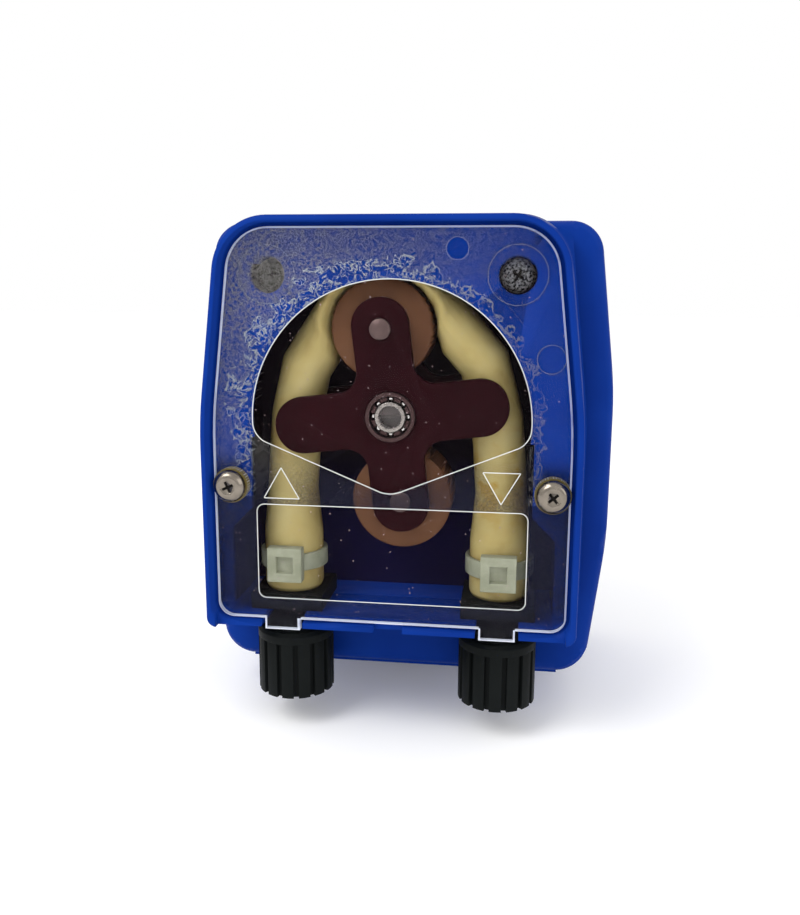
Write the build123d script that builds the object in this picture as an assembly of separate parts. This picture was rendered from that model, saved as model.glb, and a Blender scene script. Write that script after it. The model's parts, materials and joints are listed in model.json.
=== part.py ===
"""Wall-mounted peristaltic dosing pump: two rollers on a turning rotor squeeze a rubber hose.

Every sub-part is modelled around the rotor axis, with the front face of the cover at y = 0
and depth growing towards the wall. PLACE then moves it so that the origin is the centre of the
wall bracket's back face. Lengths are millimetres, +Z is up and the pump looks towards -Y.
"""
import os
from math import cos, degrees, hypot, pi, radians, sin, sqrt

from build123d import *

# --- overall places -------------------------------------------------------------------------
FRONT_TO_WALL = 100.0        # cover face to the wall
AXIS_ABOVE_BRACKET = 14.5    # rotor axis above the middle of the wall bracket
PORT_X = 29.0                # hose ports and tube legs, each side of the middle
HOSE_PLANE = 15.0            # depth of the tube's middle plane

# --- cover ----------------------------------------------------------------------------------
COVER_HALF = 46.85
COVER_TOP = 47.95
COVER_BOTTOM = -55.6
COVER_THICK = 2.4
COVER_TOP_R = 11.5
COVER_BOTTOM_R = 4.2
COVER_EDGE = 0.5             # small chamfer round the front edge
SIDE_LEAN = 0.12             # how far the upper half of each side leans in, per mm of height
KNEE_Z = -1.5                # height where the lean starts
KNEE_ROUND = 120.0           # large radius that softens the knee
TAB_WIDTH = 9.6
TAB_DROP = 3.1
SPIGOT_FIT = 0.05            # radial clearance of the spigot in the rotor bearing
SPIGOT_LENGTH = 4.8
SCREW_INSET = 4.55           # cover screw from the cover's widest edge
COVER_SCREW_Z = -18.8

# --- head casing ----------------------------------------------------------------------------
COVER_GAP = 1.05             # between the cover's edge and the rim
FLOOR_GAP = 0.6              # between the cover's lower edge and the rim
RIM_WALL = 1.6
RIM_PROUD = 3.0              # the rim stands this far in front of the cover
LOW_RIM_PROUD = 0.5          # and this far along the lower edge
RIM_ROUND = 1.0
HEAD_DRAFT = 1.5             # the outside grows by this much from rim to shoulder
HEAD_TOP_R = 14.5
HEAD_BOTTOM_R = 2.5
FLANGE_FRONT = 18.0
FLANGE_TOP = 48.6
FLANGE_TOP_R = 3.5
FLANGE_SIDE = 0.4
RACE_R = 41.0
LIP_R = 37.3                 # opening of the lip in front of the race
RACE_LIP = 1.6
ROOM_HALF = 43.5             # the room under the screw bosses is wider than the race
ROOM_TOP = -31.5
CHAMBER_DEPTH = 27.0         # back of the roller chamber
BACK_WALL = 3.0
FLOOR_WALL = 3.0
NOTCH_WIDTH = 11.5
CENTRE_NOTCH = 7.9
BOSS_R = 5.0
WELL_X = 31.9
WELL_Z = 36.2
WELL_R = 4.8
WELL_DEPTH = 8.0
PLUG_WALL = 2.4              # wall of the head's rear plug round the chamber
PLUG_FIT = 0.05

# --- rear casing ----------------------------------------------------------------------------
SHOULDER = 26.5              # depth of the rear casing's front face
CASE_HALF = 59.4
CASE_TOP = 51.2
CASE_BOTTOM = -79.0
CASE_KNEE_UP = 5.0
CASE_KNEE_LOW = -38.0
CASE_LOW_LEAN = 0.12
CASE_TOP_R = 9.0
CASE_BOTTOM_R = 10.0
CASE_ROUND = 4.5             # rounding of the shoulder's edge
CASE_WALL = 3.0
PANEL_FIT = 0.1
LIP_HALF = 46.5
LIP_DEPTH = 13.0
LIP_DROP = 1.1

# --- wall side ------------------------------------------------------------------------------
BRACKET_THICK = 4.0
BRACKET_WIDTH = 86.0
BRACKET_HEIGHT = 78.0
BRACKET_R = 5.0
BRACKET_HOLE_R = 2.4
BRACKET_HOLE_X = 70.0        # hole spacing across
BRACKET_HOLE_Z = 62.0        # hole spacing up
HOOK_X = 22.0
HOOK_HEIGHT = 16.0
HOOK_STEM = 5.0
HOOK_HEAD = 11.0
HOOK_HEAD_THICK = 2.5
HOOK_TRAVEL = 20.0
PANEL_THICK = 4.0
SLIDE_GAP = 0.5

# --- rotor ----------------------------------------------------------------------------------
ROTOR_TURN = 6.9             # degrees, how far the resting rotor is turned from upright
PIN_CIRCLE_R = 22.7
PIN_R = 2.72
PIN_PROUD = 0.7
ROLLER_R = 13.25
ROLLER_WIDTH = 16.6
ROLLER_EDGE = 0.6
ROLLER_SIDE_GAP = 0.5
PLATE_THICK = 2.6
ARM_TIP_R = 30.9
ARM_WIDTH = 15.0
ARM_FILLET = 5.5
HUB_WALL = 1.9               # plastic round the bearing
SHAFT_SHOULDER = 1.0         # plastic between the bearing and the shaft's end
SHAFT_R = 4.0
SHAFT_FLAT = 3.0
RUNNING = 0.06               # radial clearance of a running fit

# --- rotor bearing --------------------------------------------------------------------------
BEARING_WIDTH = 5.0
BALL_PITCH_R = 4.7
BALL_R = 0.95
BALL_COUNT = 8
RING_GAP = 0.75              # each ring's shoulder from the ball pitch circle
OUTER_RING = 1.05            # wall of the outer ring at its shoulder
INNER_RING = 0.95
GROOVE_WIDTH = 2.0
CAGE_HALF = 0.45
CAGE_WIDTH = 2.6
BEARING_FRONT = 2.9          # depth of the bearing's front face under the cover face

# --- pumping tube ---------------------------------------------------------------------------
TUBE_R = 7.0
TUBE_BORE_R = 4.5
TUBE_END_R = 8.2             # stretched over the barb
TUBE_SWELL_TOP = -22.0       # the hose swells from here
TUBE_SWELL_END = -35.0       # to here
TUBE_END_ROUND = 1.2
TUBE_ARCH_R = 27.3           # middle line of the free arch beside the rotor
TUBE_FLATS = 24
TUBE_LEAN_Z = -20.0          # below this height the legs stand upright
LIFT_ANGLE = 45.0            # the hose leaves its free arch this far from the pressing roller
ROLLER_TO_TUBE = 0.35
CHORD_ANGLE = 22.0           # of each straight piece of the hose round the roller
RACE_TO_TUBE = 0.15

# --- ports, ties and nuts -------------------------------------------------------------------
BLOCK_WIDTH = 20.0
BLOCK_HEIGHT = 4.5
BARB_LENGTH = 13.0
BARB_R = 4.7
BARB_RIB = 0.3
BARB_RIBS = 2
BARB_STEP = 5.0
PORT_BORE_R = 3.0
NECK_R = 5.5
THREAD_R = 8.0
THREAD_LENGTH = 15.5
OUTLET_R = 4.0
OUTLET_LENGTH = 5.0
NUT_R = 10.8
NUT_HEIGHT = 18.9
NUT_DROP = 4.2               # nut below the casing's floor
NUT_COLLAR = 3.0
NUT_FLUTES = 14
FLUTE_WIDTH = 1.5
FLUTE_DEPTH = 1.2
NUT_EDGE = 0.9
NUT_MOUTH_R = 6.2
NUT_LIP = 4.6
TIE_WIDTH = 4.8
TIE_THICK = 1.2
TIE_HEAD = 9.6
TIE_HEAD_DEPTH = 3.4
TIE_WINDOW = 4.6
TIE_Z = -41.5

# --- screws ---------------------------------------------------------------------------------
SCREW_R = 2.0
SCREW_LENGTH = 14.0
SCREW_HEAD_R = 4.35
SCREW_HEAD_HEIGHT = 2.5
GROMMET_R = 4.7
SCREW_HEAD_CHAMFER = 1.3
CASE_SCREW_LENGTH = 26.0
CASE_SCREW_HEAD_R = 4.4
SCREW_END = 1.0              # free depth beyond a screw's or shaft's end

# --- drive and cable gland ------------------------------------------------------------------
SHAFT_IN_DRIVE = 10.0
GLAND_DEPTH = 70.0           # depth of the cable gland's axis
GLAND_R = 8.0
GLAND_BORE_R = 3.3
GLAND_THREAD_R = 6.0
GLAND_THREAD_LENGTH = 6.0
GLAND_HEX = 17.0
GLAND_HEX_HEIGHT = 4.0
GLAND_LENGTH = 11.0
GLAND_EDGE = 1.8

PLACE = Pos(0, -FRONT_TO_WALL, AXIS_ABOVE_BRACKET)

# --- sizes that follow ----------------------------------------------------------------------
COVER_SCREW_X = COVER_HALF - SCREW_INSET
BRACKET_Z = -AXIS_ABOVE_BRACKET
CHAMBER_FLOOR = COVER_BOTTOM - FLOOR_GAP - RIM_WALL + FLOOR_WALL
HEAD_BOTTOM = CHAMBER_FLOOR - FLOOR_WALL
BACK_WALL_END = CHAMBER_DEPTH + BACK_WALL
CASE_SCREW_SEAT = COVER_THICK + WELL_DEPTH
BRACKET_FRONT = FRONT_TO_WALL - BRACKET_THICK
PANEL_BACK = BRACKET_FRONT - SLIDE_GAP
PANEL_FRONT = PANEL_BACK - PANEL_THICK
PLATE_BACK = HOSE_PLANE - ROLLER_WIDTH / 2 - ROLLER_SIDE_GAP
PLATE_FRONT = PLATE_BACK - PLATE_THICK
REAR_PLATE_FRONT = HOSE_PLANE + ROLLER_WIDTH / 2 + ROLLER_SIDE_GAP
REAR_PLATE_BACK = REAR_PLATE_FRONT + PLATE_THICK
BEARING_R = BALL_PITCH_R + RING_GAP + OUTER_RING
BEARING_BORE_R = BALL_PITCH_R - RING_GAP - INNER_RING
SPIGOT_R = BEARING_BORE_R - SPIGOT_FIT
HUB_R = BEARING_R + HUB_WALL
BEARING_BACK = BEARING_FRONT + BEARING_WIDTH
BEARING_MID = BEARING_FRONT + BEARING_WIDTH / 2
SHAFT_FRONT = BEARING_BACK + SHAFT_SHOULDER
BLOCK_TOP = CHAMBER_FLOOR + BLOCK_HEIGHT
NUT_TOP = HEAD_BOTTOM - NUT_DROP
THREAD_END = HEAD_BOTTOM - THREAD_LENGTH


# --- helpers --------------------------------------------------------------------------------
def layer(profile, front, back):
    """Solid of a profile drawn in X and Z, from one depth to another."""
    return extrude(Plane.XZ.offset(-front) * profile, amount=front - back)


def rod(x, z, radius, front, back):
    """Round bar along the depth."""
    return layer(Pos(x, z) * Circle(radius), front, back)


def post(x, y, radius, low, high):
    """Round bar along the height."""
    return Pos(x, y, low) * extrude(Circle(radius), amount=high - low)


def block(x, y, z, width, depth, height):
    """Box by its middle."""
    return Pos(x, y, z) * Box(width, depth, height)


def housing_outline(half, top, bottom, top_r, bottom_r, knee=KNEE_Z, low_knee=None, low_lean=0.0):
    """Upright sides that lean in above the knee and, if asked, below a lower knee."""
    top_half = half - SIDE_LEAN * (top - knee)
    right = [(half, knee), (top_half, top)]
    if low_knee is None:
        right = [(half, bottom)] + right
    else:
        right = [(half - low_lean * (low_knee - bottom), bottom), (half, low_knee)] + right
    left = [(-x, z) for x, z in reversed(right)]
    face = Polygon(*right, *left, align=None)
    face = fillet(face.vertices().sort_by(Axis.Y)[2:-2], KNEE_ROUND)
    face = fillet(face.vertices().sort_by(Axis.Y)[-2:], top_r)
    return fillet(face.vertices().sort_by(Axis.Y)[:2], bottom_r)


def drafted(front_profile, front, back_profile, back):
    """Solid between two like profiles at two depths."""
    faces = [Plane.XZ.offset(-front) * front_profile, Plane.XZ.offset(-back) * back_profile]
    return loft(faces, ruled=True)


def rounded_front(outline, front, radius, steps):
    """Front of a moulding whose edge is rounded in narrow drafted bands."""
    solid = None
    for step in range(steps):
        angle, after = (radians(90 * n / steps) for n in (step, step + 1))
        low = outline(-radius * (1 - sin(angle)))
        high = outline(-radius * (1 - sin(after)))
        band = drafted(low, front + radius * (1 - cos(angle)), high, front + radius * (1 - cos(after)))
        solid = band if solid is None else solid + band
    return solid


def edges_at_depth(solid, depth):
    """Edges that lie wholly in the plane of one depth."""
    return [e for e in solid.edges() if abs(e.bounding_box().min.Y - depth) < 1e-3
            and abs(e.bounding_box().max.Y - depth) < 1e-3]


# --- housing --------------------------------------------------------------------------------
def cover_outline(grow=0.0, low_grow=0.0):
    return housing_outline(COVER_HALF + grow, COVER_TOP + grow, COVER_BOTTOM - low_grow,
                           COVER_TOP_R + grow, COVER_BOTTOM_R + low_grow)


def head_outline(grow=0.0, top_r=HEAD_TOP_R):
    side = COVER_GAP + RIM_WALL + grow
    return housing_outline(COVER_HALF + side, COVER_TOP + side, HEAD_BOTTOM, top_r, HEAD_BOTTOM_R)


def flange_outline():
    half = COVER_HALF + COVER_GAP + RIM_WALL + HEAD_DRAFT + FLANGE_SIDE
    return housing_outline(half, FLANGE_TOP, HEAD_BOTTOM, FLANGE_TOP_R, HEAD_BOTTOM_R)


def opening(race_r, grow=0.0):
    """Round race over a straight-sided room that widens under the screw bosses."""
    half = race_r + grow
    floor = CHAMBER_FLOOR - grow
    wide = ROOM_HALF + grow
    slope = wide - half
    lower = Polygon((-half, 0), (-half, ROOM_TOP + slope), (-wide, ROOM_TOP), (-wide, floor),
                    (wide, floor), (wide, ROOM_TOP), (half, ROOM_TOP + slope), (half, 0), align=None)
    return Circle(half) + lower


def make_head_casing():
    rim_end = -RIM_PROUD + RIM_ROUND
    head = rounded_front(head_outline, -RIM_PROUD, RIM_ROUND, 2)
    head += drafted(head_outline(), rim_end, head_outline(HEAD_DRAFT), FLANGE_FRONT)
    head += layer(flange_outline(), FLANGE_FRONT, SHOULDER)
    head += layer(opening(RACE_R, PLUG_WALL), SHOULDER, BACK_WALL_END)
    head -= layer(cover_outline(COVER_GAP, FLOOR_GAP), -RIM_PROUD - 1, COVER_THICK)
    head -= layer(opening(LIP_R), COVER_THICK, CHAMBER_DEPTH)
    head -= layer(opening(RACE_R), COVER_THICK + RACE_LIP, CHAMBER_DEPTH)
    head -= block(0, -RIM_PROUD, HEAD_BOTTOM, 2 * COVER_HALF, 2 * (RIM_PROUD - LOW_RIM_PROUD),
                  2 * (FLOOR_WALL + COVER_BOTTOM_R))
    head -= block(0, 0, HEAD_BOTTOM, CENTRE_NOTCH, 2 * COVER_THICK, 2 * (RIM_WALL + FLOOR_GAP))
    for side in (-1, 1):
        head += rod(side * COVER_SCREW_X, COVER_SCREW_Z, BOSS_R, COVER_THICK, SHOULDER)
        head -= rod(side * COVER_SCREW_X, COVER_SCREW_Z, SCREW_R + RUNNING, 0, SHOULDER - BACK_WALL)
        head -= rod(side * WELL_X, WELL_Z, WELL_R, 0, COVER_THICK + WELL_DEPTH)
        head -= rod(side * WELL_X, WELL_Z, SCREW_R + RUNNING, 0, BACK_WALL_END)
        head -= port_slot(side)
    return head - rod(0, 0, SHAFT_R + RUNNING, 0, BACK_WALL_END)


def port_slot(side):
    """Slot in the floor, open to the front, that a connector's neck slides into."""
    straight = block(side * PORT_X, HOSE_PLANE / 2 - RIM_PROUD, HEAD_BOTTOM, NOTCH_WIDTH,
                     HOSE_PLANE + 2 * RIM_PROUD, 3 * FLOOR_WALL)
    round_end = post(side * PORT_X, HOSE_PLANE, NOTCH_WIDTH / 2, HEAD_BOTTOM - FLOOR_WALL,
                     HEAD_BOTTOM + 1.5 * FLOOR_WALL)
    return straight + round_end


def make_front_cover():
    cover = layer(cover_outline(), 0, COVER_THICK)
    for side in (-1, 1):
        top = COVER_BOTTOM + COVER_BOTTOM_R
        low = COVER_BOTTOM - TAB_DROP
        cover += block(side * PORT_X, COVER_THICK / 2, (top + low) / 2, TAB_WIDTH, COVER_THICK, top - low)
    cover = chamfer(edges_at_depth(cover, 0), COVER_EDGE)
    for side in (-1, 1):
        cover -= rod(side * COVER_SCREW_X, COVER_SCREW_Z, GROMMET_R, -1, COVER_THICK + 1)
    cover += rod(0, 0, SPIGOT_R, COVER_THICK, COVER_THICK + SPIGOT_LENGTH)
    return cover


def case_outline(grow=0.0):
    return housing_outline(CASE_HALF + grow, CASE_TOP + grow, CASE_BOTTOM - grow,
                           CASE_TOP_R + grow, CASE_BOTTOM_R + grow, CASE_KNEE_UP,
                           CASE_KNEE_LOW, CASE_LOW_LEAN)


def make_rear_casing():
    """Closed drive housing, left solid inside because nothing opens it."""
    lip_front = SHOULDER + CASE_ROUND
    case = rounded_front(case_outline, SHOULDER, CASE_ROUND, 3)
    case += layer(case_outline(), lip_front, PANEL_BACK)
    case += block(0, lip_front + LIP_DEPTH / 2, CASE_BOTTOM + CASE_WALL / 2 - LIP_DROP / 2,
                  2 * LIP_HALF, LIP_DEPTH, CASE_WALL + LIP_DROP)
    case -= layer(opening(RACE_R, PLUG_WALL + PLUG_FIT), 0, BACK_WALL_END + PLUG_FIT)
    case -= layer(case_outline(PANEL_FIT - CASE_WALL), PANEL_FRONT, PANEL_BACK + 1)
    case -= rod(0, 0, SHAFT_R + RUNNING, 0, BACK_WALL_END + SHAFT_IN_DRIVE + SCREW_END)
    for side in (-1, 1):
        case -= rod(side * WELL_X, WELL_Z, SCREW_R + RUNNING, 0, CASE_SCREW_SEAT + CASE_SCREW_LENGTH + SCREW_END)
        case -= hook_pocket(side)
    return case - post(0, GLAND_DEPTH, GLAND_THREAD_R, CASE_BOTTOM - 1, CASE_BOTTOM + GLAND_THREAD_LENGTH + SCREW_END)


def hook_pocket(side):
    """Shallow pocket behind the panel that the hook's head slides in."""
    depth = HOOK_HEAD_THICK + 2 * SLIDE_GAP
    height = HOOK_HEIGHT + HOOK_TRAVEL + 2 * SLIDE_GAP
    return block(side * HOOK_X, PANEL_FRONT - depth / 2, BRACKET_Z - HOOK_TRAVEL / 2,
                 HOOK_HEAD + 2 * SLIDE_GAP, depth, height)


def make_back_panel():
    panel = layer(case_outline(-CASE_WALL), PANEL_FRONT, PANEL_BACK)
    for side in (-1, 1):
        panel -= hook_window(side)
    return panel


def hook_window(side):
    """Keyhole: a narrow slot that holds the hook and a wide window under it to let it in."""
    depth = (PANEL_FRONT + PANEL_BACK) / 2
    narrow = block(side * HOOK_X, depth, BRACKET_Z - HOOK_TRAVEL / 2, HOOK_STEM + 2 * SLIDE_GAP,
                   2 * PANEL_THICK, HOOK_HEIGHT + HOOK_TRAVEL)
    wide = block(side * HOOK_X, depth, BRACKET_Z - HOOK_TRAVEL, HOOK_HEAD + 2 * SLIDE_GAP,
                 2 * PANEL_THICK, HOOK_HEIGHT + 2 * SLIDE_GAP)
    return narrow + wide


def make_wall_bracket():
    plate = layer(RectangleRounded(BRACKET_WIDTH, BRACKET_HEIGHT, BRACKET_R), BRACKET_FRONT, FRONT_TO_WALL)
    plate = Pos(0, 0, BRACKET_Z) * plate
    for x in (-BRACKET_HOLE_X / 2, BRACKET_HOLE_X / 2):
        for z in (-BRACKET_HOLE_Z / 2, BRACKET_HOLE_Z / 2):
            plate -= rod(x, BRACKET_Z + z, BRACKET_HOLE_R, 0, FRONT_TO_WALL + 1)
    for side in (-1, 1):
        stem_front = PANEL_FRONT - SLIDE_GAP
        stem_depth = BRACKET_FRONT - stem_front
        plate += block(side * HOOK_X, stem_front + stem_depth / 2, BRACKET_Z, HOOK_STEM, stem_depth, HOOK_HEIGHT)
        plate += block(side * HOOK_X, stem_front - HOOK_HEAD_THICK / 2, BRACKET_Z, HOOK_HEAD, HOOK_HEAD_THICK,
                       HOOK_HEIGHT)
    return plate


# --- screws ---------------------------------------------------------------------------------
def pan_screw(x, z, seat, head_r, length):
    """Pan-head screw, its head in front of the seat."""
    front = seat - SCREW_HEAD_HEIGHT
    head = rod(x, z, head_r, front, seat)
    head = chamfer(edges_at_depth(head, front), SCREW_HEAD_CHAMFER)
    return head + rod(x, z, SCREW_R, seat, seat + length)


def make_grommet(side):
    ring = rod(side * COVER_SCREW_X, COVER_SCREW_Z, GROMMET_R, 0, COVER_THICK)
    return ring - rod(side * COVER_SCREW_X, COVER_SCREW_Z, SCREW_R + RUNNING, -1, COVER_THICK + 1)


# --- rotor ----------------------------------------------------------------------------------
def on_rotor(shape):
    """Turn a shape drawn on the upright rotor to its resting place."""
    return Rot(0, -ROTOR_TURN, 0) * shape


def cross_profile():
    """Four round-ended arms with filleted roots."""
    reach = 2 * ARM_TIP_R
    cross = Rectangle(reach, ARM_WIDTH) + Rectangle(ARM_WIDTH, reach)
    corner = ARM_WIDTH / 2
    roots = [v for v in cross.vertices() if hypot(v.X, v.Y) < 1.5 * corner]
    cross = fillet(roots, ARM_FILLET)
    tips = [v for v in cross.vertices() if hypot(v.X, v.Y) > ARM_TIP_R]
    return fillet(tips, corner * 0.98)


def pin_holes(plate):
    for side in (-1, 1):
        plate -= rod(0, side * PIN_CIRCLE_R, PIN_R, 0, CHAMBER_DEPTH)
    return plate


def shaft_profile(radius, flat):
    """Round shaft section with one flat."""
    return Circle(radius) & Pos(0, flat - radius) * Rectangle(4 * radius, 2 * radius)


def make_rotor_front():
    plate = layer(cross_profile(), PLATE_FRONT, PLATE_BACK)
    hub = rod(0, 0, HUB_R, PLATE_BACK, HOSE_PLANE)
    front = pin_holes(plate) + hub
    front -= rod(0, 0, BEARING_R, 0, BEARING_BACK)
    front -= rod(0, 0, BEARING_R - 2 * RING_GAP, 0, SHAFT_FRONT)
    front -= layer(shaft_profile(SHAFT_R, SHAFT_FLAT), SHAFT_FRONT, HOSE_PLANE + 1)
    return on_rotor(front)


def make_rotor_rear():
    plate = layer(cross_profile(), REAR_PLATE_FRONT, REAR_PLATE_BACK)
    hub = rod(0, 0, HUB_R, HOSE_PLANE, REAR_PLATE_FRONT)
    rear = pin_holes(plate) + hub
    rear -= layer(shaft_profile(SHAFT_R, SHAFT_FLAT), HOSE_PLANE - 1, CHAMBER_DEPTH)
    return on_rotor(rear)


def make_roller_pin(side):
    pin = rod(0, side * PIN_CIRCLE_R, PIN_R, PLATE_FRONT - PIN_PROUD, REAR_PLATE_BACK)
    pin = chamfer(edges_at_depth(pin, PLATE_FRONT - PIN_PROUD), 0.3)
    return on_rotor(pin)


def make_roller(side):
    front = PLATE_BACK + ROLLER_SIDE_GAP
    back = front + ROLLER_WIDTH
    roller = rod(0, side * PIN_CIRCLE_R, ROLLER_R, front, back)
    roller = chamfer(edges_at_depth(roller, front) + edges_at_depth(roller, back), ROLLER_EDGE)
    roller -= rod(0, side * PIN_CIRCLE_R, PIN_R + RUNNING, front - 1, back + 1)
    return on_rotor(roller)


def make_output_shaft():
    profile = shaft_profile(SHAFT_R, SHAFT_FLAT)
    keyed = layer(profile, SHAFT_FRONT, CHAMBER_DEPTH)
    journal = rod(0, 0, SHAFT_R, CHAMBER_DEPTH, BACK_WALL_END + SHAFT_IN_DRIVE)
    return on_rotor(keyed + journal)


# --- bearing --------------------------------------------------------------------------------
def bearing_ring(inner, outer):
    """Ring with a turned groove that the balls run in."""
    ring = rod(0, 0, outer, BEARING_FRONT, BEARING_BACK) - rod(0, 0, inner, 0, BEARING_BACK + 1)
    reach = BALL_R + RUNNING
    front = BEARING_MID - GROOVE_WIDTH / 2
    back = BEARING_MID + GROOVE_WIDTH / 2
    groove = rod(0, 0, BALL_PITCH_R + reach, front, back) - rod(0, 0, BALL_PITCH_R - reach, front - 1, back + 1)
    return ring - groove


def ball_places():
    for step in range(BALL_COUNT):
        angle = 2 * pi * step / BALL_COUNT
        yield BALL_PITCH_R * cos(angle), BALL_PITCH_R * sin(angle)


def make_cage():
    front = BEARING_MID - CAGE_WIDTH / 2
    back = BEARING_MID + CAGE_WIDTH / 2
    cage = rod(0, 0, BALL_PITCH_R + CAGE_HALF, front, back)
    cage -= rod(0, 0, BALL_PITCH_R - CAGE_HALF, front - 1, back + 1)
    for step in range(BALL_COUNT):
        pocket = Pos(BALL_PITCH_R, 0, 0) * Box(4 * CAGE_HALF, 2 * (BALL_R + RUNNING), 2 * (BALL_R + RUNNING))
        cage -= Pos(0, BEARING_MID, 0) * Rot(0, 360 * step / BALL_COUNT, 0) * pocket
    return cage


def make_ball(x, z):
    """Ball drawn as a drum with deep chamfers, which keeps it light."""
    ball = rod(x, z, BALL_R, BEARING_MID - 0.9 * BALL_R, BEARING_MID + 0.9 * BALL_R)
    ends = edges_at_depth(ball, BEARING_MID - 0.9 * BALL_R) + edges_at_depth(ball, BEARING_MID + 0.9 * BALL_R)
    return chamfer(ends, 0.5 * BALL_R)


# --- tube -----------------------------------------------------------------------------------
def tube_edges(angle):
    """Inner and outer distance of the hose from the rotor axis, at an angle from the top."""
    from_roller = radians(angle + ROTOR_TURN)
    free = TUBE_ARCH_R + TUBE_R
    lift = cos(from_roller * 90 / LIFT_ANGLE) ** 2 if abs(degrees(from_roller)) < LIFT_ANGLE else 0.0
    outer = free + (RACE_R - RACE_TO_TUBE - free) * lift
    inner = outer - 2 * TUBE_R
    clear = (ROLLER_R + ROLLER_TO_TUBE) / cos(radians(CHORD_ANGLE / 2))
    reach = clear ** 2 - (PIN_CIRCLE_R * sin(from_roller)) ** 2
    if reach > 0 and cos(from_roller) > 0:
        inner = max(inner, PIN_CIRCLE_R * cos(from_roller) + sqrt(reach))
    return inner, outer


def arch_place(angle):
    """Middle, thickness direction and half thickness of the hose on its arch."""
    inner, outer = tube_edges(angle)
    middle = (inner + outer) / 2
    turn = radians(angle)
    return middle * sin(turn), middle * cos(turn), turn, (outer - inner) / 2


def leg_place(side, z):
    """The same on one of the legs, which swell over the barbs."""
    lean = min(1.0, z / TUBE_LEAN_Z)
    swell = min(1.0, max(0.0, (TUBE_SWELL_TOP - z) / (TUBE_SWELL_TOP - TUBE_SWELL_END)))
    x = TUBE_ARCH_R + (PORT_X - TUBE_ARCH_R) * lean
    return side * x, z, side * pi / 2, TUBE_R + (TUBE_END_R - TUBE_R) * swell


def tube_places():
    """Places along the hose, from the foot of the left leg to the foot of the right leg."""
    heights = [BLOCK_TOP + TUBE_END_ROUND, TUBE_SWELL_END, TUBE_SWELL_TOP, TUBE_LEAN_Z / 2]
    angles = [-90, -64, -50, -42, -38, -34, -27, -20, -13.5, -7, -0.5, 6, 13, 20, 24, 28, 38, 60, 90]
    left = [leg_place(-1, z) for z in heights]
    arch = [arch_place(angle) for angle in angles]
    right = [leg_place(1, z) for z in reversed(heights)]
    return left + arch + right


def tube_section(place, share):
    """Oval across the hose, of unchanged girth, drawn with flats and scaled by a share."""
    x, z, turn, half = place
    wide = sqrt(max(2 * TUBE_R ** 2, 2 * half ** 2) - half ** 2)
    points = []
    for step in range(TUBE_FLATS):
        angle = 2 * pi * step / TUBE_FLATS
        out = share * half * cos(angle)
        points.append((x + out * sin(turn), HOSE_PLANE + share * wide * sin(angle), z + out * cos(turn)))
    return make_face(Polyline(*points, close=True))


def foot_place(side, z, shrink):
    """Foot of a leg, where the hose meets its connector."""
    return side * PORT_X, z, side * pi / 2, TUBE_END_R - shrink


def make_tube():
    places = tube_places()
    shrink = TUBE_END_ROUND / 2
    outer = [foot_place(-1, BLOCK_TOP, shrink)] + places + [foot_place(1, BLOCK_TOP, shrink)]
    inner = [foot_place(-1, BLOCK_TOP - 1, 0)] + places + [foot_place(1, BLOCK_TOP - 1, 0)]
    body = loft([tube_section(place, 1.0) for place in outer], ruled=True)
    bore = loft([tube_section(place, TUBE_BORE_R / TUBE_R) for place in inner], ruled=True)
    return body - bore


def make_tie(side):
    """Cable tie: a flat band round the tube end and a square head with a window."""
    x = side * PORT_X
    low = TIE_Z - TIE_WIDTH / 2
    band = post(x, HOSE_PLANE, TUBE_END_R + TIE_THICK, low, low + TIE_WIDTH)
    head_mid = HOSE_PLANE - TUBE_END_R - TIE_THICK - TIE_HEAD_DEPTH / 2 + 1.0
    tie = band + block(x, head_mid, TIE_Z, TIE_HEAD, TIE_HEAD_DEPTH, TIE_HEAD)
    tie -= block(x, head_mid - TIE_HEAD_DEPTH / 2, TIE_Z, TIE_WINDOW, TIE_HEAD_DEPTH, TIE_WINDOW)
    return tie - post(x, HOSE_PLANE, TUBE_END_R, low - TIE_HEAD, low + 2 * TIE_HEAD)


# --- ports ----------------------------------------------------------------------------------
def make_connector(side):
    """Flanged port: barb for the tube above, neck in the slot, thread and outlet below."""
    x = side * PORT_X
    port = block(x, HOSE_PLANE, CHAMBER_FLOOR + BLOCK_HEIGHT / 2, BLOCK_WIDTH, BLOCK_WIDTH, BLOCK_HEIGHT)
    port += post(x, HOSE_PLANE, BARB_R, BLOCK_TOP, BLOCK_TOP + BARB_LENGTH)
    for step in range(BARB_RIBS):
        low = BLOCK_TOP + BARB_STEP * (step + 0.5)
        port += Pos(x, HOSE_PLANE, low + BARB_STEP / 4) * Cone(BARB_R + BARB_RIB, BARB_R, BARB_STEP / 2)
    port += post(x, HOSE_PLANE, NECK_R, HEAD_BOTTOM, CHAMBER_FLOOR)
    port += post(x, HOSE_PLANE, THREAD_R, THREAD_END, HEAD_BOTTOM)
    port += post(x, HOSE_PLANE, OUTLET_R, THREAD_END - OUTLET_LENGTH, THREAD_END)
    return port - post(x, HOSE_PLANE, PORT_BORE_R, THREAD_END - OUTLET_LENGTH - 1, BLOCK_TOP + BARB_LENGTH + 1)


def nut_profile():
    """Gear-like section of the nut's grip: flat-topped ribs between square grooves."""
    rib = 360 / NUT_FLUTES
    groove = degrees(FLUTE_WIDTH / NUT_R)
    corners = [(NUT_R, groove / 2), (NUT_R, rib / 2), (NUT_R, rib - groove / 2),
               (NUT_R - FLUTE_DEPTH, rib - groove / 2), (NUT_R - FLUTE_DEPTH, rib + groove / 2)]
    points = []
    for step in range(NUT_FLUTES):
        for radius, angle in corners:
            turn = radians(step * rib + angle)
            points.append((radius * cos(turn), radius * sin(turn)))
    return make_face(Polyline(*points, close=True))


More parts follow.
